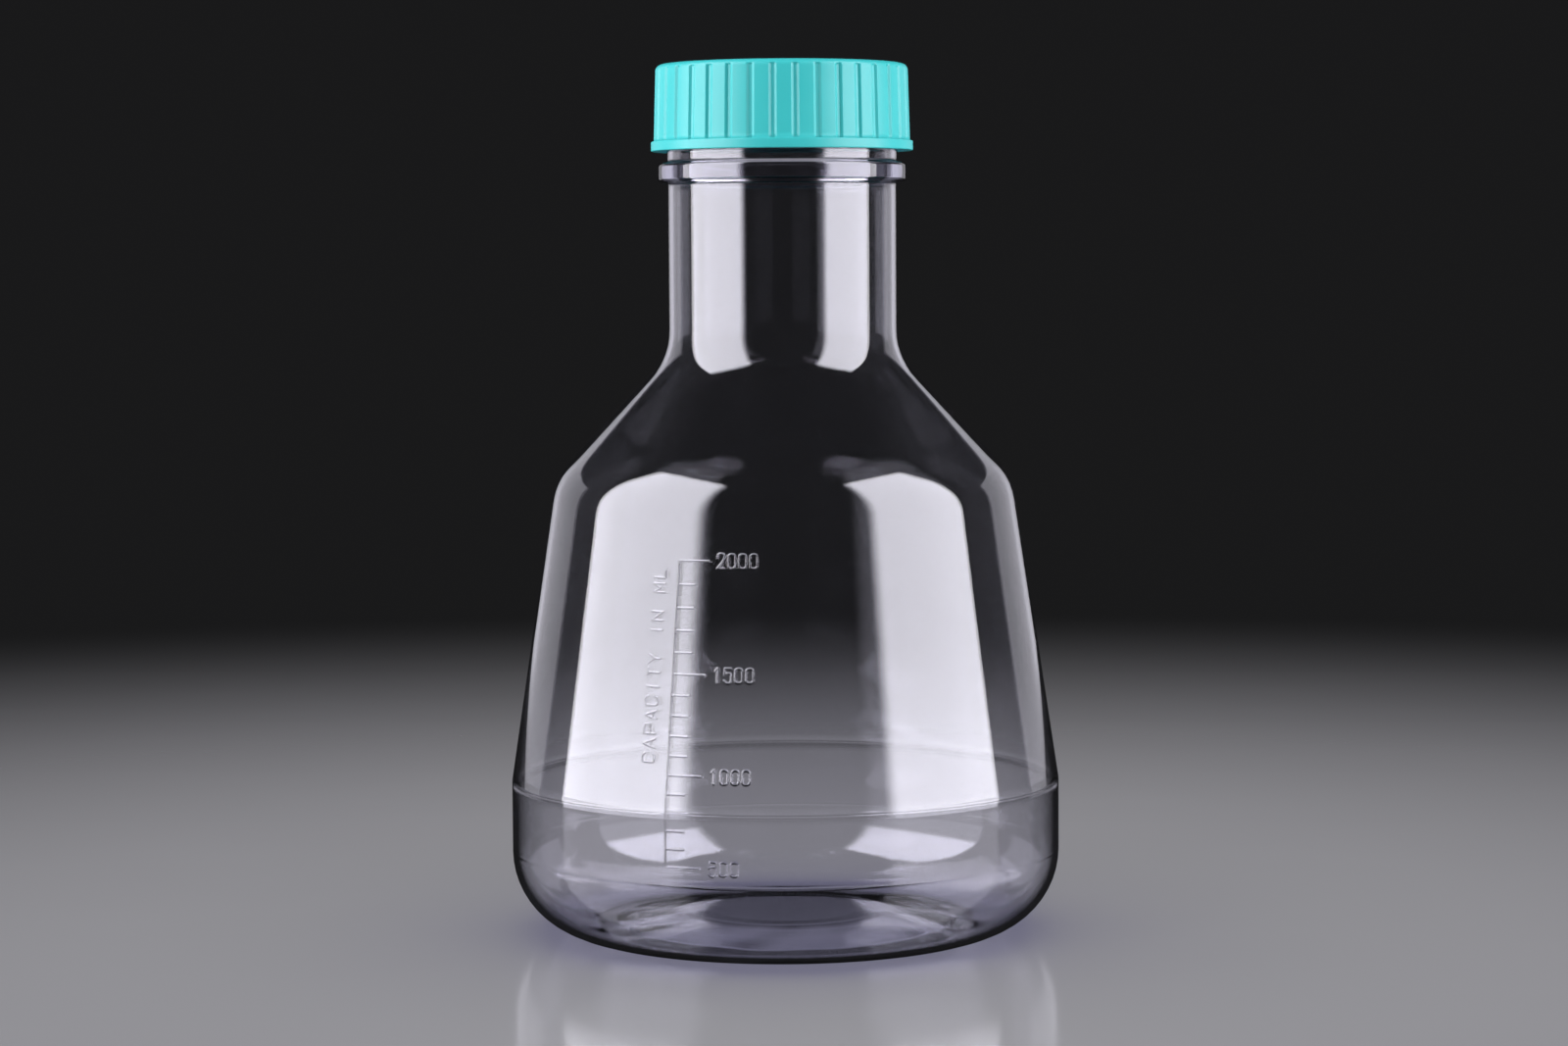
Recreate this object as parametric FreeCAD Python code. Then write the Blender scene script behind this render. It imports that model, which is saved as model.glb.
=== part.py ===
"""Two-litre conical culture flask: a clear moulded vessel with a wide threaded neck, closed by a
vented screw cap. Millimetres, +Z up, origin at the middle of the ring that the flask stands on.
"""
import FreeCAD, Part
import math
import os

from FreeCAD import Vector

# Vessel: wall and standing base
WALL = 1.6
BODY_RADIUS = 81.0
RING_INNER_RADIUS = 50.0
BASE_CORNER_RADIUS = 24.5
PUSH_UP_HEIGHT = 3.8
PUSH_UP_RADIUS = 31.0
PUSH_UP_FILLET = 60.0
RING_FILLET = 6.0

# Vessel: lower cone, shoulder, upper cone and neck
BAND_TOP = 45.4
LOWER_CONE_ANGLE = 8.6
SHOULDER_HEIGHT = 134.8
SHOULDER_RADIUS = 21.0
UPPER_CONE_ANGLE = 43.2
NECK_RADIUS = 33.8
NECK_FILLET = 18.0

# Vessel: transfer bead under the cap, and the threaded finish above it
BEAD_BOTTOM = 221.2
BEAD_HEIGHT = 5.7
BEAD_RADIUS = 36.6
BEAD_ROUNDING = 1.2
BEAD_FILLET = 0.9
COLLAR_RADIUS = 34.0
COLLAR_HEIGHT = 5.0
FINISH_RADIUS = 33.4
FINISH_STEP = 0.6
RIM_HEIGHT = 252.1
RIM_ROUNDING = 0.5

# Screw thread, shared by neck and cap: a right-hand single start
PITCH = 5.0
RIDGE_HEIGHT = 1.5
RIDGE_CREST = 1.1
FLANK_ANGLE = 30.0
RIDGE_ROOT_OVERLAP = 0.4
RADIAL_CLEARANCE = 0.5
FLANK_CLEARANCE = 0.35
NECK_THREAD_BOTTOM = 237.5
NECK_THREAD_TURNS = 2.0
CAP_THREAD_TURNS = 1.5

# Screw cap
CAP_BOTTOM = 230.3
CAP_TOP = 255.6
CAP_FOOT_RADIUS = 37.6
CAP_HEAD_RADIUS = 36.95
CAP_TOP_ROUNDING = 1.9
CAP_CEILING_THICKNESS = 2.25
CAP_MOUTH_CHAMFER = 0.6
FLANGE_RADIUS = 38.45
FLANGE_HEIGHT = 2.9
FLANGE_ROUNDING = 0.4
GROOVE_COUNT = 36
GROOVE_FIRST_ANGLE = -94.0
GROOVE_FLOOR_WIDTH = 0.8
GROOVE_MOUTH_WIDTH = 2.36
GROOVE_DEPTH = 0.55
GROOVE_TOP_MARGIN = 1.1

# Vent: a recessed plate with windows in the middle of the cap's top, and the membrane under it
VENT_RADIUS = 27.2
VENT_RECESS = 0.6
WINDOW_RINGS = [(6.0, 14.5), (16.5, 26.0)]
SPOKE_COUNT = 8
SPOKE_WIDTH = 2.4
MEMBRANE_RADIUS = 28.0
MEMBRANE_THICKNESS = 0.25

# Loose sealing ring between the rim and the cap's ceiling, and the rib that keeps it in the cap
SEAL_INNER_RADIUS = 31.6
SEAL_THICKNESS = 1.15
SEAL_SIDE_CLEARANCE = 0.3
SEAT_CLEARANCE = 0.05
KEEPER_RADIUS = 34.7
KEEPER_HEIGHT = 0.8
KEEPER_DROP = 0.35

# Moulded volume scale on the front left of the vessel
SCALE_ANGLE = -114.4
SCALE_STEP_LITRES = 0.1
SCALE_FIRST_MARK = 5
SCALE_LAST_MARK = 20
MARKS_PER_LONG_MARK = 5
SHORT_MARK_SWEEP = 3.9
LONG_MARK_SWEEP = 7.1
MARK_WIDTH = 0.5
MARK_HEIGHT = 0.3
MARK_ROOT_OVERLAP = 0.4
CUBIC_MM_PER_LITRE = 1.0e6
FILL_TOLERANCE = 0.02

AXIS_POINT = Vector(0, 0, 0)
AXIS = Vector(0, 0, 1)
FULL_TURN = 360.0


def tangent(degrees):
    return math.tan(math.radians(degrees))


def rounded_corner(before, corner, after, radius):
    """Start, middle and end of the arc that rounds one corner of an outline in the XZ plane."""
    to_before = (before - corner).normalize()
    to_after = (after - corner).normalize()
    half_angle = to_before.getAngle(to_after) / 2
    reach = radius / math.tan(half_angle)
    bisector = (to_before + to_after).normalize()
    middle = corner + bisector * (radius / math.sin(half_angle) - radius)
    return corner + to_before * reach, middle, corner + to_after * reach


def outline_edges(corners):
    """Lines and tangent arcs through (radius, height, rounding) corners."""
    points = [Vector(r, 0, z) for r, z, _ in corners]
    edges = []
    here = points[0]
    for index in range(1, len(points)):
        rounding = corners[index][2]
        if rounding == 0 or index == len(points) - 1:
            edges.append(Part.LineSegment(here, points[index]).toShape())
            here = points[index]
            continue
        start, middle, end = rounded_corner(points[index - 1], points[index], points[index + 1], rounding)
        edges.append(Part.LineSegment(here, start).toShape())
        edges.append(Part.Arc(start, middle, end).toShape())
        here = end
    return edges


def turned(corners):
    """Solid of revolution about Z from a closed outline."""
    closed = corners + [corners[0]]
    return Part.Face(Part.Wire(outline_edges(closed))).revolve(AXIS_POINT, AXIS, FULL_TURN)


def offset_corners(corners, distance):
    """The same outline moved to its left by a distance, with its roundings kept concentric."""
    points = [Vector(r, 0, z) for r, z, _ in corners]
    directions = [(b - a).normalize() for a, b in zip(points, points[1:])]
    directions = [directions[0]] + directions + [directions[-1]]
    moved = []
    for (r, z, rounding), before, after in zip(corners, directions, directions[1:]):
        left_before = Vector(-before.z, 0, before.x)
        left_after = Vector(-after.z, 0, after.x)
        shift = (left_before + left_after) * (distance / (1 + left_before.dot(left_after)))
        left_turn = before.x * after.z - before.z * after.x > 0
        inner_rounding = rounding - distance if left_turn else rounding + distance
        moved.append((r + shift.x, z + shift.z, inner_rounding if rounding else 0))
    return moved


def shell_corners():
    """Outside of the vessel from the middle of its base up to the neck."""
    shoulder_r = BODY_RADIUS - (SHOULDER_HEIGHT - BAND_TOP) * tangent(LOWER_CONE_ANGLE)
    neck_z = SHOULDER_HEIGHT + (shoulder_r - NECK_RADIUS) / tangent(UPPER_CONE_ANGLE)
    return [
        (0, PUSH_UP_HEIGHT, 0),
        (PUSH_UP_RADIUS, PUSH_UP_HEIGHT, PUSH_UP_FILLET),
        (RING_INNER_RADIUS, 0, RING_FILLET),
        (BODY_RADIUS, 0, BASE_CORNER_RADIUS),
        (BODY_RADIUS, BAND_TOP, 0),
        (shoulder_r, SHOULDER_HEIGHT, SHOULDER_RADIUS),
        (NECK_RADIUS, neck_z, NECK_FILLET),
        (NECK_RADIUS, RIM_HEIGHT, 0),
    ]


def finish_corners():
    """Outside of the neck from the transfer bead up to the rim."""
    bead_top = BEAD_BOTTOM + BEAD_HEIGHT
    collar_top = bead_top + COLLAR_HEIGHT
    return [
        (NECK_RADIUS, BEAD_BOTTOM, BEAD_FILLET),
        (BEAD_RADIUS, BEAD_BOTTOM, BEAD_ROUNDING),
        (BEAD_RADIUS, bead_top, BEAD_ROUNDING),
        (COLLAR_RADIUS, bead_top, BEAD_FILLET),
        (COLLAR_RADIUS, collar_top, 0),
        (FINISH_RADIUS, collar_top + FINISH_STEP, 0),
        (FINISH_RADIUS, RIM_HEIGHT, RIM_ROUNDING),
    ]


def thread_ridge(root_radius, outward, bottom, turns):
    """Trapezoidal ridge on a helix that starts at angle 0; outward is 1 on the neck, -1 in the cap."""
    crest_half = RIDGE_CREST / 2
    root_half = crest_half + (RIDGE_HEIGHT + RIDGE_ROOT_OVERLAP) * tangent(FLANK_ANGLE)
    root = root_radius - outward * RIDGE_ROOT_OVERLAP
    crest = root_radius + outward * RIDGE_HEIGHT
    section = Part.makePolygon([
        Vector(root, 0, -root_half),
        Vector(crest, 0, -crest_half),
        Vector(crest, 0, crest_half),
        Vector(root, 0, root_half),
        Vector(root, 0, -root_half),
    ])
    helix = Part.makeHelix(PITCH, PITCH * turns, root_radius)
    ridge = Part.Wire(helix.Edges).makePipeShell([section], True, True)
    ridge.translate(Vector(0, 0, bottom))
    return ridge


def cavity():
    """Everything that the vessel can hold, filled to the rim."""
    inside = offset_corners(shell_corners(), WALL)
    return turned(inside + [(0, RIM_HEIGHT, 0)])


def height_of_volume(space, litres):
    """Height of the liquid surface when the vessel holds the given volume."""
    low = 0.0
    high = RIM_HEIGHT
    while high - low > FILL_TOLERANCE:
        middle = (low + high) / 2
        liquid = space.common(Part.makeCylinder(BODY_RADIUS, middle))
        if liquid.Volume < litres * CUBIC_MM_PER_LITRE:
            low = middle
        else:
            high = middle
    return (low + high) / 2


def wall_radius(height):
    """Outer radius of the vessel on the band or the lower cone."""
    return BODY_RADIUS - max(0.0, height - BAND_TOP) * tangent(LOWER_CONE_ANGLE)


def raised_mark(bottom, top, sweep):
    """Low raised bar on the wall between two heights, from the scale's line round to the right."""
    heights = [bottom, top]
    if bottom < BAND_TOP < top:
        heights = [bottom, BAND_TOP, top]
    outside = [Vector(wall_radius(z) + MARK_HEIGHT, 0, z) for z in heights]
    inside = [Vector(wall_radius(z) - MARK_ROOT_OVERLAP, 0, z) for z in reversed(heights)]
    section = Part.Face(Part.makePolygon(outside + inside + [outside[0]]))
    bar = section.revolve(AXIS_POINT, AXIS, sweep)
    bar.rotate(AXIS_POINT, AXIS, SCALE_ANGLE)
    return bar


def volume_scale():
    """The scale's upright line and its marks, placed where the vessel holds each volume."""
    space = cavity()
    marks = []
    heights = []
    for number in range(SCALE_FIRST_MARK, SCALE_LAST_MARK + 1):
        height = height_of_volume(space, number * SCALE_STEP_LITRES)
        is_long = number % MARKS_PER_LONG_MARK == 0
        sweep = LONG_MARK_SWEEP if is_long else SHORT_MARK_SWEEP
        marks.append(raised_mark(height - MARK_WIDTH / 2, height + MARK_WIDTH / 2, sweep))
        heights.append(height)
        if is_long:
            print(f"mark at {number * SCALE_STEP_LITRES:.1f} l: height {height:.2f}")
    line_sweep = math.degrees(MARK_WIDTH / BODY_RADIUS)
    marks.append(raised_mark(heights[0], heights[-1], line_sweep))
    print(f"volume to the rim: {space.Volume / CUBIC_MM_PER_LITRE:.3f} l")
    return marks


def flask_body():
    outside = shell_corners()[:-1] + finish_corners()
    inside = offset_corners(shell_corners(), WALL)
    vessel = turned(outside + list(reversed(inside)))
    thread = thread_ridge(FINISH_RADIUS, 1, NECK_THREAD_BOTTOM, NECK_THREAD_TURNS)
    return vessel.fuse([thread] + volume_scale()).removeSplitter()


def cap_ceiling():
    return CAP_TOP - CAP_CEILING_THICKNESS


def cap_bore_radius():
    return FINISH_RADIUS + RIDGE_HEIGHT + RADIAL_CLEARANCE


def cap_blank():
    """Cap without its thread, grooves and windows."""
    bore = cap_bore_radius()
    keeper_top = cap_ceiling() - SEAL_THICKNESS - SEAT_CLEARANCE - KEEPER_DROP
    keeper_lead = bore - KEEPER_RADIUS
    return turned([
        (0, CAP_TOP - VENT_RECESS, 0),
        (VENT_RADIUS, CAP_TOP - VENT_RECESS, 0),
        (VENT_RADIUS, CAP_TOP, 0),
        (CAP_HEAD_RADIUS, CAP_TOP, CAP_TOP_ROUNDING),
        (CAP_FOOT_RADIUS, CAP_BOTTOM + FLANGE_HEIGHT, 0),
        (FLANGE_RADIUS, CAP_BOTTOM + FLANGE_HEIGHT, FLANGE_ROUNDING),
        (FLANGE_RADIUS, CAP_BOTTOM, FLANGE_ROUNDING),
        (bore + CAP_MOUTH_CHAMFER, CAP_BOTTOM, 0),
        (bore, CAP_BOTTOM + CAP_MOUTH_CHAMFER, 0),
        (bore, keeper_top - KEEPER_HEIGHT - keeper_lead, 0),
        (KEEPER_RADIUS, keeper_top - KEEPER_HEIGHT, 0),
        (KEEPER_RADIUS, keeper_top, 0),
        (bore, keeper_top, 0),
        (bore, cap_ceiling(), 0),
        (0, cap_ceiling(), 0),
    ])


def grip_grooves():
    """Upright grooves round the cap's wall, open on to the flange and closed under the top edge."""
    bottom = CAP_BOTTOM + FLANGE_HEIGHT
    height = CAP_TOP - GROOVE_TOP_MARGIN - bottom
    lean = math.degrees(math.atan((CAP_FOOT_RADIUS - CAP_HEAD_RADIUS) / (CAP_TOP - bottom)))
    floor_half = GROOVE_FLOOR_WIDTH / 2
    outer_half = GROOVE_MOUTH_WIDTH - floor_half
    section = Part.makePolygon([
        Vector(0, -floor_half, 0),
        Vector(2 * GROOVE_DEPTH, -outer_half, 0),
        Vector(2 * GROOVE_DEPTH, outer_half, 0),
        Vector(0, floor_half, 0),
        Vector(0, -floor_half, 0),
    ])
    groove = Part.Face(section).extrude(Vector(0, 0, height))
    groove.rotate(AXIS_POINT, Vector(0, 1, 0), -lean)
    groove.translate(Vector(CAP_FOOT_RADIUS - GROOVE_DEPTH, 0, bottom))
    grooves = []
    for index in range(GROOVE_COUNT):
        cutter = groove.copy()
        cutter.rotate(AXIS_POINT, AXIS, GROOVE_FIRST_ANGLE + index * FULL_TURN / GROOVE_COUNT)
        grooves.append(cutter)
    return grooves


def vent_windows():
    """Ring-shaped windows through the cap's top, divided by spokes."""
    bottom = Vector(0, 0, cap_ceiling())
    spokes = []
    for index in range(SPOKE_COUNT // 2):
        spoke = Part.makeBox(2 * CAP_HEAD_RADIUS, SPOKE_WIDTH, CAP_CEILING_THICKNESS,
                             Vector(-CAP_HEAD_RADIUS, -SPOKE_WIDTH / 2, cap_ceiling()))
        spoke.rotate(AXIS_POINT, AXIS, index * FULL_TURN / SPOKE_COUNT)
        spokes.append(spoke)
    windows = []
    for inner, outer in WINDOW_RINGS:
        ring = Part.makeCylinder(outer, CAP_CEILING_THICKNESS, bottom)
        ring = ring.cut(Part.makeCylinder(inner, CAP_CEILING_THICKNESS, bottom))
        windows.extend(ring.cut(spokes).Solids)
    return windows


def cap_shell():
    flank_overlap = RIDGE_CREST + (RIDGE_HEIGHT - RADIAL_CLEARANCE) * tangent(FLANK_ANGLE)
    bottom = NECK_THREAD_BOTTOM - flank_overlap - FLANK_CLEARANCE
    thread = thread_ridge(cap_bore_radius(), -1, bottom, CAP_THREAD_TURNS)
    blank = cap_blank().cut(grip_grooves() + vent_windows())
    return blank.fuse(thread).removeSplitter()


def vent_membrane():
    bottom = Vector(0, 0, cap_ceiling() - MEMBRANE_THICKNESS)
    return Part.makeCylinder(MEMBRANE_RADIUS, MEMBRANE_THICKNESS, bottom)


def seal_ring():
    bottom = Vector(0, 0, cap_ceiling() - SEAT_CLEARANCE - SEAL_THICKNESS)
    outer = Part.makeCylinder(cap_bore_radius() - SEAL_SIDE_CLEARANCE, SEAL_THICKNESS, bottom)
    return outer.cut(Part.makeCylinder(SEAL_INNER_RADIUS, SEAL_THICKNESS, bottom))


def export_parts():
    os.makedirs("parts", exist_ok=True)
    for make in (flask_body, cap_shell, vent_membrane, seal_ring):
        shape = make()
        shape.exportStep(os.path.join("parts", make.__name__ + ".step"))
        print(make.__name__, shape.isValid(), len(shape.Solids), f"{shape.Volume:.0f} mm3", shape.BoundBox)


export_parts()
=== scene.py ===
import math

import bmesh
import bpy
import numpy as np
from mathutils import Matrix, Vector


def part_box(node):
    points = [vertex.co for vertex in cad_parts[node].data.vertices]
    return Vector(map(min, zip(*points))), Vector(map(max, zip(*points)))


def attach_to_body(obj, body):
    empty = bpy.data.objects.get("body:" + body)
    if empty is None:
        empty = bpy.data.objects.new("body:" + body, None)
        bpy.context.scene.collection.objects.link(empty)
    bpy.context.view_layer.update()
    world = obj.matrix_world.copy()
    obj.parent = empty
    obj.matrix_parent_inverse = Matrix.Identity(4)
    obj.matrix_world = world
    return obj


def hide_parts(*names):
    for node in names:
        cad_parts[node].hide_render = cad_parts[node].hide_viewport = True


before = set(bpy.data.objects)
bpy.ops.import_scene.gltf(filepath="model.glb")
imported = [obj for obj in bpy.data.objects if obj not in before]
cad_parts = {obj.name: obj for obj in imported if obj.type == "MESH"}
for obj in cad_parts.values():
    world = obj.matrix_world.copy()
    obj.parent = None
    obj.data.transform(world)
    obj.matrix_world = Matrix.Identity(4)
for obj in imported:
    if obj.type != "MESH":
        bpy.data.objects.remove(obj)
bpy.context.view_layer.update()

MM = 0.001
FRONT = -90.0
FULL_TURN = 360.0

# Vessel
WALL = 1.6
BODY_RADIUS = 81.0
RING_INNER_RADIUS = 50.0
BASE_CORNER_RADIUS = 24.5
PUSH_UP_HEIGHT = 3.8
PUSH_UP_RADIUS = 31.0
PUSH_UP_FILLET = 60.0
RING_FILLET = 6.0
BAND_TOP = 45.4
LOWER_CONE_ANGLE = 8.6
SHOULDER_HEIGHT = 134.8
SHOULDER_RADIUS = 21.0
UPPER_CONE_ANGLE = 43.2
NECK_RADIUS = 33.8
NECK_FILLET = 18.0
BEAD_BOTTOM = 221.2
BEAD_HEIGHT = 5.7
BEAD_RADIUS = 36.6
BEAD_ROUNDING = 1.2
BEAD_FILLET = 0.9
COLLAR_RADIUS = 34.0
COLLAR_HEIGHT = 5.0
FINISH_RADIUS = 33.4
FINISH_STEP = 0.6
RIM_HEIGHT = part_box("flask_body")[1].z / MM
RIM_ROUNDING = 0.5

# Mould lines: fine grooves of a (height, depth) where the parts of the mould met. The mesh has rows
# of points across each, at these shares of its width.
MOULD_LINES = [(25.3, 0.02), (BAND_TOP, 0.04)]
MOULD_LINE_WIDTH = 0.4
MOULD_LINE_ROWS = (-1.5, -0.5, -0.25, 0.0, 0.25, 0.5, 1.5)

# Base: the wall is thicker and rippled on the inside where it turns down to the standing ring.
# Each wave of the ripple is (waves in a turn, phase).
BASE_SWELL_RADIUS = 48.0
BASE_SWELL_WIDTH = 9.0
BASE_SWELL = 0.5
BASE_RIPPLE = 0.5
RIPPLE_WAVES = [(5, 0.4), (9, 2.1), (14, 4.0)]

# Thread, shared by neck and cap
PITCH = 5.0
RIDGE_HEIGHT = 1.5
RIDGE_CREST = 1.1
FLANK_ANGLE = 30.0
RADIAL_CLEARANCE = 0.5
FLANK_CLEARANCE = 0.35
NECK_THREAD_BOTTOM = 237.5
NECK_THREAD_TURNS = 2.0
CAP_THREAD_TURNS = 1.5
THREAD_RUN_OUT = 25.0

# Screw cap
CAP_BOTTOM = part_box("cap_shell")[0].z / MM
CAP_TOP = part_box("cap_shell")[1].z / MM
CAP_FOOT_RADIUS = 37.6
CAP_HEAD_RADIUS = 36.95
CAP_TOP_ROUNDING = 1.9
CAP_CEILING = CAP_TOP - 2.25
CAP_BORE_RADIUS = FINISH_RADIUS + RIDGE_HEIGHT + RADIAL_CLEARANCE
CAP_MOUTH_CHAMFER = 0.6
CAP_MOUTH_ROUNDING = 0.175
CAP_EDGE_ROUNDING = 0.35
FLANGE_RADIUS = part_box("cap_shell")[1].x / MM
FLANGE_HEIGHT = 2.9
KEEPER_RADIUS = 34.7
KEEPER_TOP = CAP_CEILING - 1.55
KEEPER_HEIGHT = 0.8

# Grip grooves: half widths are measured round the cap's foot
GROOVE_COUNT = 36
GROOVE_FIRST_ANGLE = -94.0
GROOVE_DEPTH = 0.55
GROOVE_FLOOR_HALF = 0.4
GROOVE_MOUTH_HALF = 1.18
GROOVE_EDGE_HALF = 0.07
GROOVE_TOP = CAP_TOP - 0.9
GROOVE_TOP_FADE = 0.7

# Vent grid in the cap's top
VENT_RADIUS = 27.2
VENT_RECESS = 0.6
WINDOW_RINGS = [(6.0, 14.5), (16.5, 26.0)]
SPOKE_COUNT = 8
SPOKE_WIDTH = 2.4
WINDOW_EDGE = 0.25
WINDOW_EDGE_SEGMENTS = 3
WINDOW_ARC_POINTS = 9
VENT_SEGMENTS = 128

# Raised volume scale. Sizes are (width, height), and the margin is (angle, height).
MM3_PER_LITRE = 1.0e6
VOLUME_LEVELS = 4001
SCALE_ANGLE = -114.4
SCALE_STEP_LITRES = 0.1
SCALE_FIRST_MARK = 5
SCALE_LAST_MARK = 20
MARKS_PER_LONG_MARK = 5
SHORT_MARK_SWEEP = 3.9
LONG_MARK_SWEEP = 7.1
STROKE_HEIGHT = 0.19
STROKE_FLAT_HALF = 0.09
STROKE_FOOT_HALF = 0.32
SCALE_MARGIN = (math.radians(2.0), 3.0)
NUMBER_ANGLE = -105.3
NUMBER_SIZE = (2.05, 3.9)
NUMBER_PITCH = 3.1
CAPTION = "CAPACITY IN ML"
CAPTION_ANGLE = -117.7
CAPTION_BOTTOM = 59.3
CAPTION_SIZE = (2.45, 3.7)
CAPTION_PITCH = 3.9

# Single-stroke letters on a grid 4 wide and 6 high. A curve is drawn rounded, a line as it is.
GLYPH_WIDTH = 4.0
GLYPH_HEIGHT = 6.0
GLYPHS = {
    "0": [("loop", [(0, 0), (4, 0), (4, 3), (4, 6), (0, 6), (0, 3)])],
    "1": [("line", [(0.8, 4.7), (2.2, 6), (2.2, 0)])],
    "2": [("curve", [(0, 4.4), (0.2, 6.1), (4, 6.3), (4, 3.6), (0, 0)]), ("line", [(0, 0), (4, 0)])],
    "5": [("line", [(3.7, 6), (0.5, 6), (0.2, 3.2)]),
          ("curve", [(0.2, 3.2), (1.6, 4), (4, 3.9), (4, -0.2), (1.2, -0.3), (0, 0.9)])],
    "A": [("line", [(0, 0), (2, 6), (4, 0)]), ("line", [(0.7, 2.1), (3.3, 2.1)])],
    "C": [("curve", [(4, 1.3), (3.4, -0.2), (0, -0.2), (0, 3), (0, 6.2), (3.4, 6.2), (4, 4.7)])],
    "I": [("line", [(2, 0), (2, 6)])],
    "L": [("line", [(0.3, 6), (0.3, 0), (3.8, 0)])],
    "M": [("line", [(0, 0), (0, 6), (2, 2.2), (4, 6), (4, 0)])],
    "N": [("line", [(0, 0), (0, 6), (4, 0), (4, 6)])],
    "P": [("line", [(0, 0), (0, 6), (2, 6)]), ("curve", [(2, 6), (4.2, 6), (4.2, 2.9), (2, 2.9)]),
          ("line", [(2, 2.9), (0, 2.9)])],
    "T": [("line", [(0, 6), (4, 6)]), ("line", [(2, 6), (2, 0)])],
    "Y": [("line", [(0, 6), (2, 3), (4, 6)]), ("line", [(2, 3), (2, 0)])],
}
ROUNDING_PASSES = 3
CORNER_CUT = 0.25

# Seal and membrane
SEAL_INNER_RADIUS = 31.6
SEAL_ROUNDING = 0.3
SEAL_COLUMNS = 128
MEMBRANE_RADIUS = 28.0
MEMBRANE_RIPPLE = 0.1
MEMBRANE_SWIRL = 5
MEMBRANE_RINGS = 9
MEMBRANE_HELD_SHARE = 0.2

# Camera, in metres
CAMERA_DISTANCE = 1.1015
CAMERA_HEIGHT = 0.1992
CAMERA_PITCH = 4.07
CAMERA_SENSOR = 36.0
CAMERA_LENS = 85.68
CAMERA_ROLL = -0.32

# Softboxes (name, angle from the front, width) beside the object. Their faint copies below the floor
# stand for their reflection in a glossy table. A softbox fades towards its front edge, over a share of
# its width. Its foot, below a share of its height, is dimmer in reflections inside the vessel, which
# are those of light that crosses more surfaces than the two of one wall.
LIGHT_COLOUR = (0.945, 0.93, 1.0)
SOFTBOXES = [("softbox_left", -69.0, 0.97), ("softbox_right", 67.0, 0.8)]
SOFTBOX_DISTANCE = 0.75
SOFTBOX_TALL = 1.3
SOFTBOX_RADIANCE = 6.0
TABLE_REFLECTANCE = 0.1
SOFT_EDGE = 0.15
FOOT_FADE = (0.18, 0.28)
FOOT_STRENGTH = 0.2
ONE_WALL = 2.5

# Dim panels behind the object, which light its edges
RIM_LIGHTS = [("rim_left", -141.0), ("rim_right", 141.0)]
RIM_DISTANCE = 2.0
RIM_HEIGHT_ABOVE_FLOOR = 0.4
RIM_SIZE = (1.35, 0.9)
RIM_RADIANCE = 0.6

# Floor, its own light, and the background
FLOOR_LIGHT_HEIGHT = 1.5
FLOOR_LIGHT_SIZE = (2.0, 2.0)
FLOOR_LIGHT_RADIANCE = 2.2
FLOOR_FADE = (0.15, 1.0)
FLOOR_SEGMENTS = 96
WORLD_GREY = (0.01, 0.01, 0.0105)

# Colours as pairs that a surface varies between
TEALS = ((0.033, 0.395, 0.385), (0.041, 0.43, 0.42))
MEMBRANE_WHITES = ((0.78, 0.78, 0.76), (0.9, 0.9, 0.89))
SILICONE_GREYS = ((0.62, 0.64, 0.66), (0.7, 0.72, 0.74))

# Mesh density: the longest steps along an outline in millimetres, and of an arc in degrees
ARC_STEP = 7.0
VESSEL_STEP = 2.6
CAP_STEP = 1.5
MEMBRANE_STEP = 1.5
THREAD_STEP = 0.5
VESSEL_COLUMNS = 240
GROOVE_PAD_COLUMNS = 3
SCALE_CUTS = (3, 3)
DIAGONAL_HALF = 0.72
MERGE_DISTANCE = 1e-7
TOLERANCE = 0.01


# ---------------------------------------------------------------- outlines

def tangent(degrees):
    return math.tan(math.radians(degrees))


def smooth_step(value):
    """0 below 0, 1 above 1, and a smooth rise between."""
    value = np.clip(value, 0.0, 1.0)
    return value * value * (3.0 - 2.0 * value)


def unit(vector):
    return vector / np.linalg.norm(vector)


def corner_arc(before, corner, after, radius):
    """Points of the arc that rounds one corner of an outline."""
    to_before = unit(before - corner)
    to_after = unit(after - corner)
    half = math.acos(np.clip(to_before @ to_after, -1.0, 1.0)) / 2
    centre = corner + unit(to_before + to_after) * radius / math.sin(half)
    start = corner + to_before * radius / math.tan(half) - centre
    turn = math.pi - 2 * half
    side = math.copysign(1.0, to_before[1] * to_after[0] - to_before[0] * to_after[1])
    steps = max(2, round(math.degrees(turn) / ARC_STEP))
    angles = side * turn * np.arange(steps + 1) / steps
    return [centre + np.array([start[0] * math.cos(a) - start[1] * math.sin(a),
                               start[0] * math.sin(a) + start[1] * math.cos(a)]) for a in angles]


def rounded_outline(corners, closed):
    """(radius, height) points through (radius, height, rounding) corners."""
    places = [np.array(c[:2], float) for c in corners]
    points = []
    for index, (place, corner) in enumerate(zip(places, corners)):
        at_end = not closed and index in (0, len(corners) - 1)
        if corner[2] == 0 or at_end:
            points.append(place)
            continue
        after = places[(index + 1) % len(places)]
        points.extend(corner_arc(places[index - 1], place, after, corner[2]))
    return points


def subdivided(points, step_at):
    """The same outline with its long runs divided; step_at gives the longest step at a point."""
    result = [points[0]]
    for start, end in zip(points, points[1:]):
        length = np.linalg.norm(end - start)
        count = max(1, math.ceil(length / step_at(*(start + end) / 2) - TOLERANCE))
        result.extend(start + (end - start) * (i + 1) / count for i in range(count))
    return result


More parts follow.
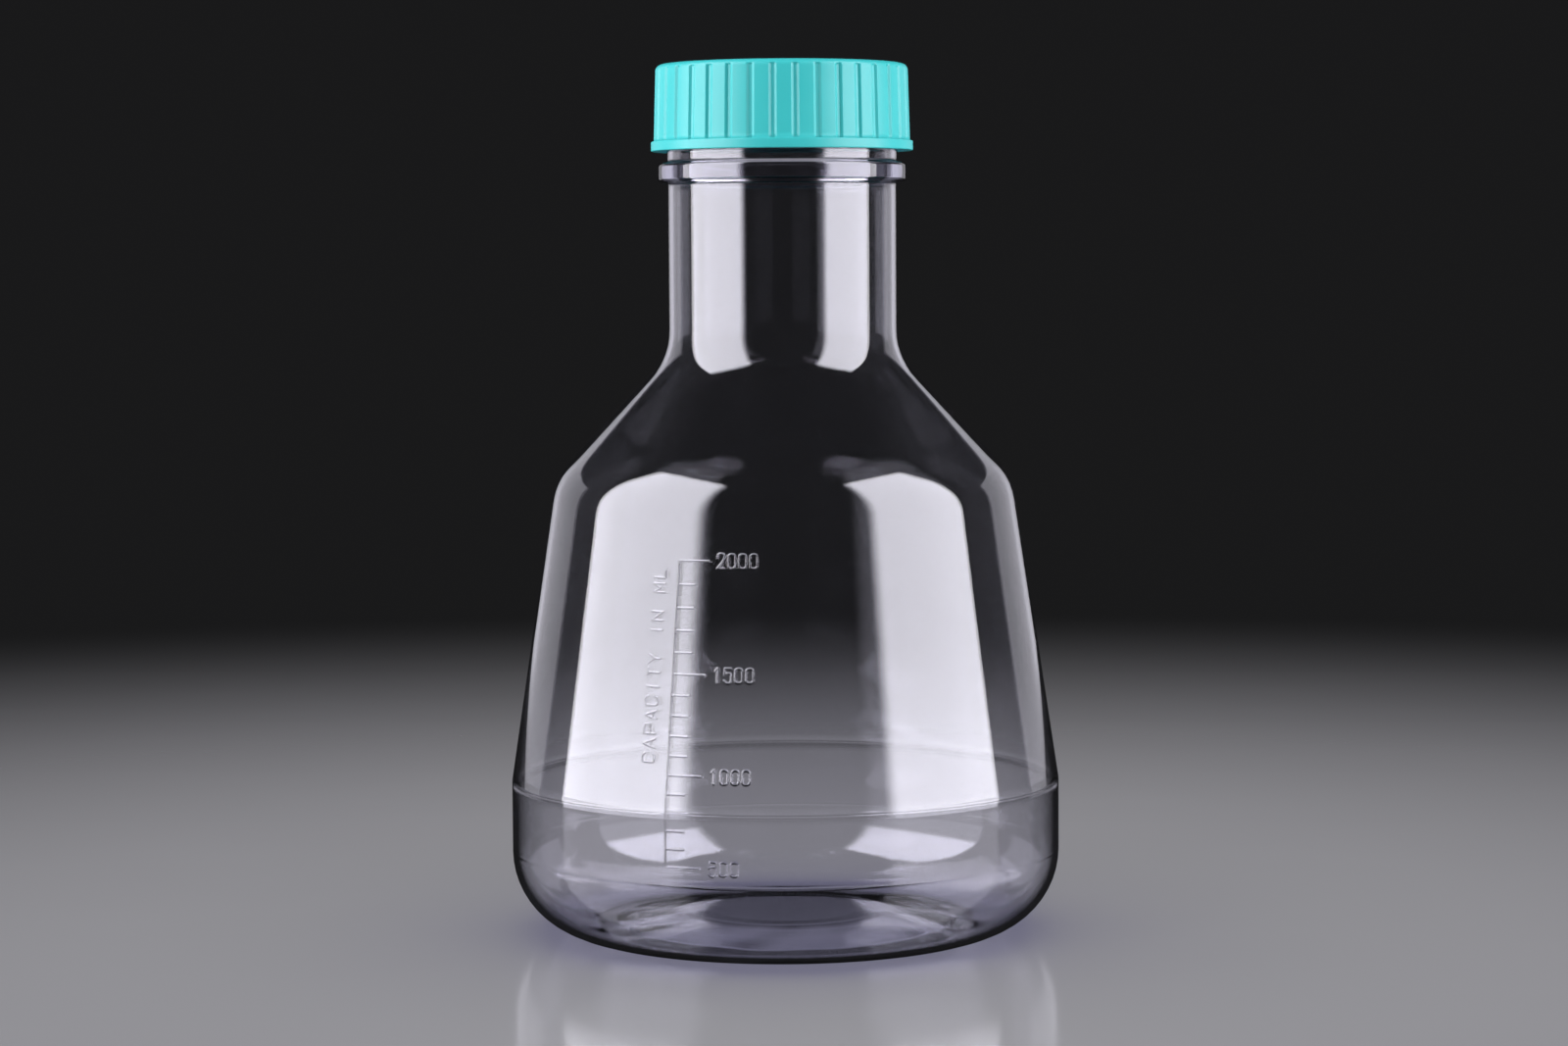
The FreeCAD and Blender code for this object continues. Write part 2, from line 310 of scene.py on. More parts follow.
def offset_corners(corners, distance):
    """The same outline moved to its left by a distance, with its roundings kept concentric."""
    places = [np.array(c[:2], float) for c in corners]
    directions = [unit(b - a) for a, b in zip(places, places[1:])]
    directions = [directions[0]] + directions + [directions[-1]]
    moved = []
    for place, corner, before, after in zip(places, corners, directions, directions[1:]):
        left = np.array([-before[1], before[0]]) + np.array([-after[1], after[0]])
        place = place + left * distance / (1 + before @ after)
        left_turn = before[0] * after[1] - before[1] * after[0] > 0
        rounding = corner[2] - distance if left_turn else corner[2] + distance
        moved.append((place[0], place[1], rounding if corner[2] else 0))
    return moved


# ---------------------------------------------------------------- meshes

def lathe(name, outline, angles, shape):
    """Closed mesh from an outline turned round Z. shape moves the grid's radii, heights and angles."""
    outline = np.array(outline)
    radii, turn = np.meshgrid(outline[:, 0], np.radians(angles), indexing="ij")
    heights = np.repeat(outline[:, 1:], len(angles), axis=1)
    radii, heights = shape(radii, heights, turn)
    points = np.stack([radii * np.cos(turn), radii * np.sin(turn), heights], axis=-1) * MM
    mesh = bpy.data.meshes.new(name)
    rows, columns = radii.shape
    on_axis = outline[0][0] == 0
    faces = []
    for row in range(rows - 1 if on_axis else rows):
        above = (row + 1) % rows
        for column in range(columns):
            beside = (column + 1) % columns
            faces.append((row * columns + column, row * columns + beside,
                          above * columns + beside, above * columns + column))
    mesh.from_pydata(points.reshape(-1, 3).tolist(), [], faces)
    return finished(name, mesh)


def finished(name, mesh):
    """Object of a mesh with its doubled points merged and its faces turned outwards."""
    work = bmesh.new()
    work.from_mesh(mesh)
    bmesh.ops.remove_doubles(work, verts=work.verts, dist=MERGE_DISTANCE)
    bmesh.ops.recalc_face_normals(work, faces=work.faces)
    for face in work.faces:
        face.smooth = True
    work.to_mesh(mesh)
    work.free()
    piece = bpy.data.objects.new(name, mesh)
    bpy.context.scene.collection.objects.link(piece)
    return piece


def thread_height(heights, turn, bottom, turns):
    """Share of the thread's full height at each point: 1 on its crest, 0 off it, faded at its ends."""
    position = turn % (2 * math.pi) / (2 * math.pi)
    centre = bottom + position * PITCH
    lap = np.round((heights - centre) / PITCH)
    along = lap + position
    axial = np.abs(heights - centre - lap * PITCH)
    foot = RIDGE_CREST / 2 + RIDGE_HEIGHT * tangent(FLANK_ANGLE)
    flank = smooth_step((foot - axial) / (foot - RIDGE_CREST / 2))
    run_out = THREAD_RUN_OUT / FULL_TURN
    ends = smooth_step(along / run_out) * smooth_step((turns - along) / run_out)
    return flank * ends


# ---------------------------------------------------------------- vessel

def vessel_corners():
    """Outside of the vessel from the middle of its base up to the neck, without the finish."""
    shoulder_r = BODY_RADIUS - (SHOULDER_HEIGHT - BAND_TOP) * tangent(LOWER_CONE_ANGLE)
    neck_z = SHOULDER_HEIGHT + (shoulder_r - NECK_RADIUS) / tangent(UPPER_CONE_ANGLE)
    return [
        (0, PUSH_UP_HEIGHT, 0),
        (PUSH_UP_RADIUS, PUSH_UP_HEIGHT, PUSH_UP_FILLET),
        (RING_INNER_RADIUS, 0, RING_FILLET),
        (BODY_RADIUS, 0, BASE_CORNER_RADIUS),
        (BODY_RADIUS, BAND_TOP, 0),
        (shoulder_r, SHOULDER_HEIGHT, SHOULDER_RADIUS),
        (NECK_RADIUS, neck_z, NECK_FILLET),
        (NECK_RADIUS, RIM_HEIGHT, 0),
    ]


def finish_corners():
    """Outside of the neck from the transfer bead up to the rim."""
    bead_top = BEAD_BOTTOM + BEAD_HEIGHT
    collar_top = bead_top + COLLAR_HEIGHT
    return [
        (NECK_RADIUS, BEAD_BOTTOM, BEAD_FILLET),
        (BEAD_RADIUS, BEAD_BOTTOM, BEAD_ROUNDING),
        (BEAD_RADIUS, bead_top, BEAD_ROUNDING),
        (COLLAR_RADIUS, bead_top, BEAD_FILLET),
        (COLLAR_RADIUS, collar_top, 0),
        (FINISH_RADIUS, collar_top + FINISH_STEP, 0),
        (FINISH_RADIUS, RIM_HEIGHT, RIM_ROUNDING),
        (NECK_RADIUS - WALL, RIM_HEIGHT, RIM_ROUNDING),
        (NECK_RADIUS - WALL, BEAD_BOTTOM, 0),
    ]


def wall_radius(heights):
    """Outer radius on the band and the lower cone, less the fine grooves of the mould lines."""
    radii = BODY_RADIUS - np.maximum(0.0, heights - BAND_TOP) * tangent(LOWER_CONE_ANGLE)
    for level, depth in MOULD_LINES:
        radii = radii - depth * smooth_step(1 - 2 * np.abs(heights - level) / MOULD_LINE_WIDTH)
    return radii


def outside_corners():
    """Outside of the whole vessel, with the band's top corner drawn as a mould line."""
    corners = vessel_corners()[:-1] + finish_corners()
    band = corners.index((BODY_RADIUS, BAND_TOP, 0))
    levels = [level + MOULD_LINE_WIDTH * share for level, _ in MOULD_LINES
              for share in MOULD_LINE_ROWS]
    lines = [(float(wall_radius(z)), z, 0) for z in levels]
    return corners[:band] + lines + corners[band + 1:]


def vessel_step(radius, height):
    """Longest step along the vessel's outline: fine beside the thread."""
    above_collar = height > NECK_THREAD_BOTTOM - PITCH / 2
    below_top = height < NECK_THREAD_BOTTOM + (NECK_THREAD_TURNS + 0.5) * PITCH
    on_outside = radius > NECK_RADIUS - WALL / 2
    return THREAD_STEP if above_collar and below_top and on_outside else VESSEL_STEP


def vessel_outline():
    outside = rounded_outline(outside_corners(), False)
    inside = rounded_outline(offset_corners(vessel_corners(), WALL), False)[:-1]
    return subdivided(outside + inside[::-1], vessel_step)


def vessel_shape(radii, heights, turn):
    """Raises the neck's thread, and swells and ripples the inside of the base."""
    thread = thread_height(heights, turn, NECK_THREAD_BOTTOM, NECK_THREAD_TURNS)
    finish_foot = BEAD_BOTTOM + BEAD_HEIGHT + COLLAR_HEIGHT
    on_finish = (radii > FINISH_RADIUS - TOLERANCE) & (heights > finish_foot)
    waves = sum(np.sin(count * turn + phase + radii / BASE_SWELL_WIDTH) for count, phase in RIPPLE_WAVES)
    swell = BASE_SWELL + BASE_RIPPLE * waves / len(RIPPLE_WAVES)
    swell = swell * smooth_step(1 - np.abs(radii - BASE_SWELL_RADIUS) / (2 * BASE_SWELL_WIDTH))
    rows = np.arange(len(heights))[:, None]
    on_inside = rows > len(heights) // 2
    in_base = on_inside & (heights < BASE_CORNER_RADIUS)
    return radii + np.where(on_finish, thread * RIDGE_HEIGHT, 0.0), heights + np.where(in_base, swell, 0.0)


def liquid_height(litres):
    """Height at which the vessel holds a volume, from the cavity's outline."""
    inside = np.array(rounded_outline(offset_corners(vessel_corners(), WALL), False))
    lowest = int(np.argmin(inside[:, 1]))
    levels = np.linspace(inside[lowest, 1], RIM_HEIGHT, VOLUME_LEVELS)
    radii = np.interp(levels, inside[lowest:, 1], inside[lowest:, 0])
    push_up = np.interp(levels, inside[lowest::-1, 1], inside[lowest::-1, 0], right=0.0)
    area = math.pi * (radii ** 2 - push_up ** 2)
    volume = np.cumsum(area) * (levels[1] - levels[0])
    return float(np.interp(litres * MM3_PER_LITRE, volume, levels))


# ---------------------------------------------------------------- raised scale

def rounded_line(points, closed):
    """A line with its corners cut off again and again until it is a smooth curve."""
    points = [np.array(p, float) for p in points]
    for _ in range(ROUNDING_PASSES):
        pairs = list(zip(points, points[1:] + points[:1])) if closed else list(zip(points, points[1:]))
        cut = [a + share * (b - a) for a, b in pairs for share in (CORNER_CUT, 1 - CORNER_CUT)]
        points = cut if closed else [points[0]] + cut[1:-1] + [points[-1]]
    return points + points[:1] if closed else points


def text_strokes(text, size, pitch):
    """Strokes of a line of text with letters of a (width, height), from its bottom left corner."""
    across = size[0] / GLYPH_WIDTH
    up = size[1] / GLYPH_HEIGHT
    for place, letter in enumerate(text):
        for kind, points in GLYPHS.get(letter, []):
            if kind != "line":
                points = rounded_line(points, kind == "loop")
            points = [(place * pitch + x * across, y * up) for x, y in points]
            yield from zip(points, points[1:])


def number_strokes(litres, height):
    """Raised figures beside a long mark."""
    radius = float(wall_radius(height))
    left = math.radians(NUMBER_ANGLE)
    bottom = height - NUMBER_SIZE[1] / 2
    label = str(round(1000 * litres))
    return [tuple((left + x / radius, bottom + y) for x, y in ends)
            for ends in text_strokes(label, NUMBER_SIZE, NUMBER_PITCH)]


def caption_strokes():
    """Raised caption, which reads upwards beside the scale."""
    right = math.radians(CAPTION_ANGLE)
    return [tuple((right - y / float(wall_radius(CAPTION_BOTTOM + x)), CAPTION_BOTTOM + x) for x, y in ends)
            for ends in text_strokes(CAPTION, CAPTION_SIZE, CAPTION_PITCH)]


def scale_strokes():
    """Every raised stroke as ((angle, height), (angle, height)), angles in radians."""
    strokes = []
    heights = []
    line = math.radians(SCALE_ANGLE)
    for number in range(SCALE_FIRST_MARK, SCALE_LAST_MARK + 1):
        litres = number * SCALE_STEP_LITRES
        height = liquid_height(litres)
        heights.append(height)
        is_long = number % MARKS_PER_LONG_MARK == 0
        end = math.radians(SCALE_ANGLE + (LONG_MARK_SWEEP if is_long else SHORT_MARK_SWEEP))
        strokes.append(((line, height), (end, height)))
        if is_long:
            strokes.extend(number_strokes(litres, height))
    strokes.append(((line, heights[0]), (line, heights[-1])))
    return strokes + caption_strokes()


def stroke_distance(angles, heights, strokes):
    """Distance in millimetres from points on the wall to the nearest stroke."""
    radii = wall_radius(heights)
    nearest = np.full(angles.shape, np.inf)
    for (a0, z0), (a1, z1) in strokes:
        across = (a1 - a0) * radii
        along = z1 - z0
        dx = (angles - a0) * radii
        dz = heights - z0
        share = np.clip((dx * across + dz * along) / np.maximum(across ** 2 + along ** 2, 1e-9), 0.0, 1.0)
        nearest = np.minimum(nearest, np.hypot(dx - share * across, dz - share * along))
    return nearest


def scale_distances(points, strokes):
    """Distance from points to the nearest stroke, or infinity off the scale's part of the outer wall."""
    ends = np.array(strokes).reshape(-1, 2)
    places = np.stack([np.arctan2(points[:, 1], points[:, 0]), points[:, 2] / MM], axis=-1)
    radii = np.hypot(points[:, 0], points[:, 1]) / MM
    near = (places > ends.min(axis=0) - SCALE_MARGIN) & (places < ends.max(axis=0) + SCALE_MARGIN)
    near = near.all(axis=1) & (np.abs(radii - wall_radius(places[:, 1])) < WALL / 2)
    distances = np.full(len(points), np.inf)
    distances[near] = stroke_distance(places[near, 0], places[near, 1], strokes)
    return distances


def raise_scale(piece):
    """Divides the vessel's outer wall finely round each stroke and raises the strokes from it."""
    strokes = scale_strokes()
    work = bmesh.new()
    work.from_mesh(piece.data)
    for cuts in SCALE_CUTS:
        centres = np.array([face.calc_center_median() for face in work.faces])
        sizes = np.array([max(edge.calc_length() for edge in face.edges) for face in work.faces]) / MM
        chosen = scale_distances(centres, strokes) < sizes * DIAGONAL_HALF + STROKE_FOOT_HALF
        edges = dict.fromkeys(e for face, keep in zip(work.faces, chosen) if keep for e in face.edges)
        bmesh.ops.subdivide_edges(work, edges=list(edges), cuts=cuts, use_grid_fill=True)
    points = np.array([vert.co for vert in work.verts])
    distances = scale_distances(points, strokes)
    angles = np.arctan2(points[:, 1], points[:, 0])
    raised = smooth_step((STROKE_FOOT_HALF - distances) / (STROKE_FOOT_HALF - STROKE_FLAT_HALF))
    radii = (wall_radius(points[:, 2] / MM) + STROKE_HEIGHT * raised) * MM
    for vert, distance, angle, radius in zip(work.verts, distances, angles, radii):
        if math.isfinite(distance):
            vert.co.x = radius * math.cos(angle)
            vert.co.y = radius * math.sin(angle)
    for face in work.faces:
        face.smooth = True
    work.to_mesh(piece.data)
    work.free()


def make_vessel():
    angles = np.arange(VESSEL_COLUMNS) * FULL_TURN / VESSEL_COLUMNS
    piece = lathe("clear_vessel", vessel_outline(), angles, vessel_shape)
    raise_scale(piece)
    return piece


# ---------------------------------------------------------------- cap

def cap_corners():
    """Section of the cap's ring, from the edge of the vent over the outside to the bore."""
    keeper_lead = CAP_BORE_RADIUS - KEEPER_RADIUS
    keeper_foot = KEEPER_TOP - KEEPER_HEIGHT
    return [
        (VENT_RADIUS, CAP_CEILING, 0),
        (VENT_RADIUS, CAP_TOP, CAP_EDGE_ROUNDING),
        (CAP_HEAD_RADIUS, CAP_TOP, CAP_TOP_ROUNDING),
        (CAP_FOOT_RADIUS, CAP_BOTTOM + FLANGE_HEIGHT, 0),
        (FLANGE_RADIUS, CAP_BOTTOM + FLANGE_HEIGHT, CAP_EDGE_ROUNDING),
        (FLANGE_RADIUS, CAP_BOTTOM, CAP_EDGE_ROUNDING),
        (CAP_BORE_RADIUS + CAP_MOUTH_CHAMFER, CAP_BOTTOM, CAP_MOUTH_ROUNDING),
        (CAP_BORE_RADIUS, CAP_BOTTOM + CAP_MOUTH_CHAMFER, 0),
        (CAP_BORE_RADIUS, keeper_foot - keeper_lead, 0),
        (KEEPER_RADIUS, keeper_foot, 0),
        (KEEPER_RADIUS, KEEPER_TOP, 0),
        (CAP_BORE_RADIUS, KEEPER_TOP, 0),
        (CAP_BORE_RADIUS, CAP_CEILING, 0),
    ]


def cap_step(radius, height):
    """Longest step along the cap's section: fine beside the thread."""
    beside_thread = CAP_BOTTOM + CAP_MOUTH_CHAMFER < height < CAP_CEILING - PITCH
    return THREAD_STEP if beside_thread and radius < CAP_BORE_RADIUS + TOLERANCE else CAP_STEP


def groove_columns():
    """Angles of the cap's columns, close together across each groove's sides."""
    edges = [edge + side * GROOVE_EDGE_HALF for edge in (GROOVE_FLOOR_HALF, GROOVE_MOUTH_HALF)
             for side in (-1, 0, 1)]
    pad = np.linspace(edges[-1], math.pi * CAP_FOOT_RADIUS / GROOVE_COUNT, GROOVE_PAD_COLUMNS + 1)[1:]
    half = np.concatenate([edges, pad])
    offsets = np.concatenate([-half[-2::-1], [0.0], half])
    offsets = np.degrees(offsets / CAP_FOOT_RADIUS)
    centres = GROOVE_FIRST_ANGLE + np.arange(GROOVE_COUNT) * FULL_TURN / GROOVE_COUNT
    return (centres[:, None] + offsets[None, :]).ravel()


def groove_cut(radii, heights, turn):
    """How far the grip grooves cut into the cap's outer wall at each point."""
    pitch = 2 * math.pi / GROOVE_COUNT
    phase = (turn - math.radians(GROOVE_FIRST_ANGLE) + pitch / 2) % pitch - pitch / 2
    across = np.clip((GROOVE_MOUTH_HALF - np.abs(phase) * CAP_FOOT_RADIUS)
                     / (GROOVE_MOUTH_HALF - GROOVE_FLOOR_HALF), 0.0, 1.0)
    upright = smooth_step((GROOVE_TOP - heights) / GROOVE_TOP_FADE)
    flange_top = CAP_BOTTOM + FLANGE_HEIGHT
    share = (heights - flange_top) / (CAP_TOP - flange_top)
    floor = CAP_FOOT_RADIUS + (CAP_HEAD_RADIUS - CAP_FOOT_RADIUS) * share - GROOVE_DEPTH
    wall = (heights > flange_top - TOLERANCE) & (radii < CAP_FOOT_RADIUS + TOLERANCE) & (radii > floor)
    return np.where(wall, across * upright * (radii - floor), 0.0)


def cap_shape(radii, heights, turn):
    """Cuts the grip grooves into the cap's wall and raises its inner thread."""
    flank_overlap = RIDGE_CREST + (RIDGE_HEIGHT - RADIAL_CLEARANCE) * tangent(FLANK_ANGLE)
    bottom = NECK_THREAD_BOTTOM - flank_overlap - FLANK_CLEARANCE
    thread = thread_height(heights, turn, bottom, CAP_THREAD_TURNS)
    bore = np.abs(radii - CAP_BORE_RADIUS) < TOLERANCE
    return radii - groove_cut(radii, heights, turn) - np.where(bore, thread * RIDGE_HEIGHT, 0.0), heights


def make_cap():
    corners = rounded_outline(cap_corners(), True)
    outline = subdivided(corners + corners[:1], cap_step)[:-1]
    return lathe("teal_cap", outline, groove_columns(), cap_shape)


def circle(radius, count):
    turn = np.arange(count) * 2 * math.pi / count
    return [(radius * math.cos(a), radius * math.sin(a)) for a in turn]


def window_outline(inner, outer, index):
    """One vent window: a sector with straight sides that run along its two spokes."""
    points = []
    middle = (index + 0.5) * 2 * math.pi / SPOKE_COUNT
    half = math.pi / SPOKE_COUNT
    for radius, sense in ((inner, 1), (outer, -1)):
        reach = half - math.asin(SPOKE_WIDTH / 2 / radius)
        for share in np.linspace(-1, 1, WINDOW_ARC_POINTS):
            angle = middle + sense * share * reach
            points.append((radius * math.cos(angle), radius * math.sin(angle)))
    return points


def make_vent_grid():
    """The pierced plate in the middle of the cap's top, with rounded window edges."""
    thickness = CAP_TOP - VENT_RECESS - CAP_CEILING
    curve = bpy.data.curves.new("vent_grid", "CURVE")
    curve.dimensions = "2D"
    curve.fill_mode = "BOTH"
    curve.extrude = (thickness / 2 - WINDOW_EDGE) * MM
    curve.bevel_depth = WINDOW_EDGE * MM
    curve.bevel_resolution = WINDOW_EDGE_SEGMENTS
    curve.offset = -WINDOW_EDGE * MM
    loops = [circle(VENT_RADIUS + WINDOW_EDGE, VENT_SEGMENTS)]
    for inner, outer in WINDOW_RINGS:
        loops.extend(window_outline(inner, outer, index) for index in range(SPOKE_COUNT))
    for loop in loops:
        spline = curve.splines.new("POLY")
        spline.points.add(len(loop) - 1)
        for point, (x, y) in zip(spline.points, loop):
            point.co = (x * MM, y * MM, 0.0, 1.0)
        spline.use_cyclic_u = True
    source = bpy.data.objects.new("vent_grid_outline", curve)
    bpy.context.scene.collection.objects.link(source)
    bpy.context.view_layer.update()
    mesh = bpy.data.meshes.new_from_object(source)
    bpy.data.objects.remove(source)
    mesh.transform(Matrix.Translation((0, 0, (CAP_CEILING + thickness / 2) * MM)))
    return finished("vent_grid", mesh)


# ---------------------------------------------------------------- seal and membrane

def plain_shape(radii, heights, turn):
    """Leaves the grid of a lathe as it is turned."""
    return radii, heights


def make_seal():
    low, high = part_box("seal_ring")
    outer = high.x / MM
    corners = [(SEAL_INNER_RADIUS, low.z / MM), (outer, low.z / MM), (outer, high.z / MM),
               (SEAL_INNER_RADIUS, high.z / MM)]
    outline = rounded_outline([(r, z, SEAL_ROUNDING) for r, z in corners], True)
    angles = np.arange(SEAL_COLUMNS) * FULL_TURN / SEAL_COLUMNS
    return lathe("sealing_ring", outline, angles, plain_shape)


def membrane_shape(radii, heights, turn):
    """A film that is held at its edge and lies slightly loose between the spokes."""
    share = radii / MEMBRANE_RADIUS
    waves = np.sin(SPOKE_COUNT * turn + MEMBRANE_SWIRL * share) * np.sin(MEMBRANE_RINGS * share)
    sag = MEMBRANE_RIPPLE * (0.5 + 0.5 * waves)
    return radii, heights - sag * smooth_step((1 - share) / MEMBRANE_HELD_SHARE)


def membrane_step(radius, height):
    """Longest step along the membrane's outline, the same everywhere."""
    return MEMBRANE_STEP


def make_membrane():
    low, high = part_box("vent_membrane")
    bottom = low.z / MM + MEMBRANE_RIPPLE
    corners = [(0, bottom, 0), (MEMBRANE_RADIUS, bottom, 0), (MEMBRANE_RADIUS, high.z / MM, 0),
               (0, high.z / MM, 0)]
    outline = subdivided(rounded_outline(corners, False), membrane_step)
    angles = np.arange(SEAL_COLUMNS) * FULL_TURN / SEAL_COLUMNS
    return lathe("porous_membrane", outline, angles, membrane_shape)


# ---------------------------------------------------------------- materials

def new_material(name):
    """Empty node material with a Principled shader: (material, node tree, shader, output)."""
    material = bpy.data.materials.new(name)
    material.use_nodes = True
    tree = material.node_tree
    return material, tree, tree.nodes["Principled BSDF"], tree.nodes["Material Output"]


def noise_texture(tree, scale, detail=2.0, stretch=(1.0, 1.0, 1.0)):
    """Noise over the object's own space; scale is in features per metre."""
    place = tree.nodes.new("ShaderNodeTexCoord")
    mapping = tree.nodes.new("ShaderNodeMapping")
    mapping.inputs["Scale"].default_value = stretch
    texture = tree.nodes.new("ShaderNodeTexNoise")
    texture.inputs["Scale"].default_value = scale
    texture.inputs["Detail"].default_value = detail
    tree.links.new(place.outputs["Object"], mapping.inputs["Vector"])
    tree.links.new(mapping.outputs["Vector"], texture.inputs["Vector"])
    return texture.outputs["Fac"]


def ranged(tree, value, low, high):
    """A 0 to 1 value spread over another range."""
    node = tree.nodes.new("ShaderNodeMapRange")
    node.inputs["To Min"].default_value = low
    node.inputs["To Max"].default_value = high
    tree.links.new(value, node.inputs["Value"])
    return node.outputs["Result"]


def smooth_range(tree, value, start, end):
    """0 at the start of a range, 1 at its end, and a smooth rise between."""
    node = tree.nodes.new("ShaderNodeMapRange")
    node.interpolation_type = "SMOOTHSTEP"
    node.inputs["From Min"].default_value = start
    node.inputs["From Max"].default_value = end
    tree.links.new(value, node.inputs["Value"])
    return node.outputs["Result"]


def math_node(tree, operation, first, second):
    """Result of a Math node whose inputs are sockets or numbers."""
    node = tree.nodes.new("ShaderNodeMath")
    node.operation = operation
    for value, socket in zip((first, second), node.inputs):
        if isinstance(value, float):
            socket.default_value = value
        else:
            tree.links.new(value, socket)
    return node.outputs["Value"]


def add_bump(tree, shader, height, depth):
    """Bump of a given depth in metres."""
    node = tree.nodes.new("ShaderNodeBump")
    node.inputs["Strength"].default_value = 1.0
    node.inputs["Distance"].default_value = depth
    tree.links.new(height, node.inputs["Height"])
    tree.links.new(node.outputs["Normal"], shader.inputs["Normal"])


def vary_colour(tree, shader, factor, colours):
    """Base colour that varies between two colours."""
    node = tree.nodes.new("ShaderNodeMix")
    node.data_type = "RGBA"
    for name, colour in zip("AB", colours):
        node.inputs[name].default_value = (*colour, 1.0)
    tree.links.new(factor, node.inputs["Factor"])
    tree.links.new(node.outputs["Result"], shader.inputs["Base Color"])


def clear_where(tree, factor, shader, output, colour):
    """Surface that is the shader's, and plain transparent in a colour where the factor is 1."""
    clear = tree.nodes.new("ShaderNodeBsdfTransparent")
    clear.inputs["Color"].default_value = (*colour, 1.0)
    mix = tree.nodes.new("ShaderNodeMixShader")
    tree.links.new(factor, mix.inputs["Fac"])
    tree.links.new(shader.outputs["BSDF"], mix.inputs[1])
    tree.links.new(clear.outputs["BSDF"], mix.inputs[2])
    tree.links.new(mix.outputs["Shader"], output.inputs["Surface"])


def clear_plastic():
    """Clear polycarbonate: near colourless in the wall, violet where the light runs along it.

    Its shadow is that of a thin clear sheet, because refracted light is not traced to the floor.
    """
    material, tree, shader, output = new_material("clear_polycarbonate")
    shader.inputs["Base Color"].default_value = (0.985, 0.985, 1.0, 1.0)
    shader.inputs["Transmission Weight"].default_value = 1.0
    shader.inputs["IOR"].default_value = 1.585
    tree.links.new(ranged(tree, noise_texture(tree, 55.0), 0.015, 0.05), shader.inputs["Roughness"])
    add_bump(tree, shader, noise_texture(tree, 30.0, 0.0, stretch=(1.0, 1.0, 0.35)), 0.00002)
    tint = tree.nodes.new("ShaderNodeVolumeAbsorption")
    tint.inputs["Color"].default_value = (0.45, 0.4, 0.95, 1.0)
    tint.inputs["Density"].default_value = 28.0
    tree.links.new(tint.outputs["Volume"], output.inputs["Volume"])
    path = tree.nodes.new("ShaderNodeLightPath")
    clear_where(tree, path.outputs["Is Shadow Ray"], shader, output, (0.9, 0.9, 0.94))
    return material


def teal_plastic():
    """Moulded polyethylene: satin, slightly translucent, with a fine grain."""
    material, tree, shader, _ = new_material("teal_polyethylene")
    vary_colour(tree, shader, noise_texture(tree, 60.0), TEALS)
    tree.links.new(ranged(tree, noise_texture(tree, 400.0), 0.32, 0.42), shader.inputs["Roughness"])
    shader.inputs["Specular IOR Level"].default_value = 0.4
    shader.inputs["Subsurface Weight"].default_value = 0.15
    shader.inputs["Subsurface Radius"].default_value = (0.3, 1.0, 0.9)
    shader.inputs["Subsurface Scale"].default_value = 0.0015
    add_bump(tree, shader, noise_texture(tree, 2600.0), 0.000012)
    return material


def membrane_film():
    """White porous film, matt and faintly fibrous."""
    material, tree, shader, _ = new_material("white_membrane")
    vary_colour(tree, shader, noise_texture(tree, 900.0, 4.0), MEMBRANE_WHITES)
    shader.inputs["Roughness"].default_value = 0.9
    add_bump(tree, shader, noise_texture(tree, 3000.0, 4.0), 0.00002)
    return material


def silicone():
    """Milky silicone rubber."""
    material, tree, shader, _ = new_material("silicone_seal")
    vary_colour(tree, shader, noise_texture(tree, 200.0), SILICONE_GREYS)
    shader.inputs["Roughness"].default_value = 0.55
    shader.inputs["Transmission Weight"].default_value = 0.35
    add_bump(tree, shader, noise_texture(tree, 1500.0), 0.00001)
    return material


def floor_surface():
    """Pale, slightly glossy table top that fades into the background away from the object.

    Light that was reflected on its way passes through it, so that reflections stay dark and clear.
    """
    material, tree, shader, output = new_material("pale_floor")
    shader.inputs["Base Color"].default_value = (0.6, 0.6, 0.6, 1.0)
    tree.links.new(ranged(tree, noise_texture(tree, 12.0), 0.1, 0.16), shader.inputs["Roughness"])
    place = tree.nodes.new("ShaderNodeTexCoord")
    length = tree.nodes.new("ShaderNodeVectorMath")
    length.operation = "LENGTH"
    tree.links.new(place.outputs["Object"], length.inputs[0])
    fade = smooth_range(tree, length.outputs["Value"], *FLOOR_FADE)
    path = tree.nodes.new("ShaderNodeLightPath")
    reflected = math_node(tree, "GREATER_THAN", path.outputs["Glossy Depth"], 0.5)
    clear_where(tree, math_node(tree, "MAXIMUM", fade, reflected), shader, output, (1.0, 1.0, 1.0))
    return material


# ---------------------------------------------------------------- stage

def make_floor():
    """Round floor, as far out as its surface fades."""
    mesh = bpy.data.meshes.new("floor")
    ring = [(x, y, 0.0) for x, y in circle(FLOOR_FADE[1], FLOOR_SEGMENTS)]
    mesh.from_pydata(ring, [], [tuple(range(FLOOR_SEGMENTS))])
    floor = bpy.data.objects.new("floor", mesh)
    bpy.context.scene.collection.objects.link(floor)
    mesh.materials.append(floor_surface())
    return floor


def make_panel(name, place, turn, size, radiance):
    """Rectangular light that the camera does not see."""
    lamp = bpy.data.lights.new(name, "AREA")
    lamp.shape = "RECTANGLE"
    lamp.size, lamp.size_y = size
    lamp.color = LIGHT_COLOUR
    lamp.energy = radiance * math.pi * size[0] * size[1]
    lamp.use_nodes = True
    light = bpy.data.objects.new(name, lamp)
    light.location = place
    light.rotation_euler = turn
    light.visible_camera = False
    bpy.context.scene.collection.objects.link(light)
    return light


def make_softbox(name, azimuth, distance, height, size, radiance, floor):
    """Upright softbox at an angle from the front, facing the object's axis. It does not light the floor."""
    angle = math.radians(FRONT + azimuth)
    place = (distance * math.cos(angle), distance * math.sin(angle), height)
    turn = (math.radians(90.0), 0.0, math.radians(azimuth))
    light = make_panel(name, place, turn, size, radiance)
    link_light(light, floor, "EXCLUDE")
    return light


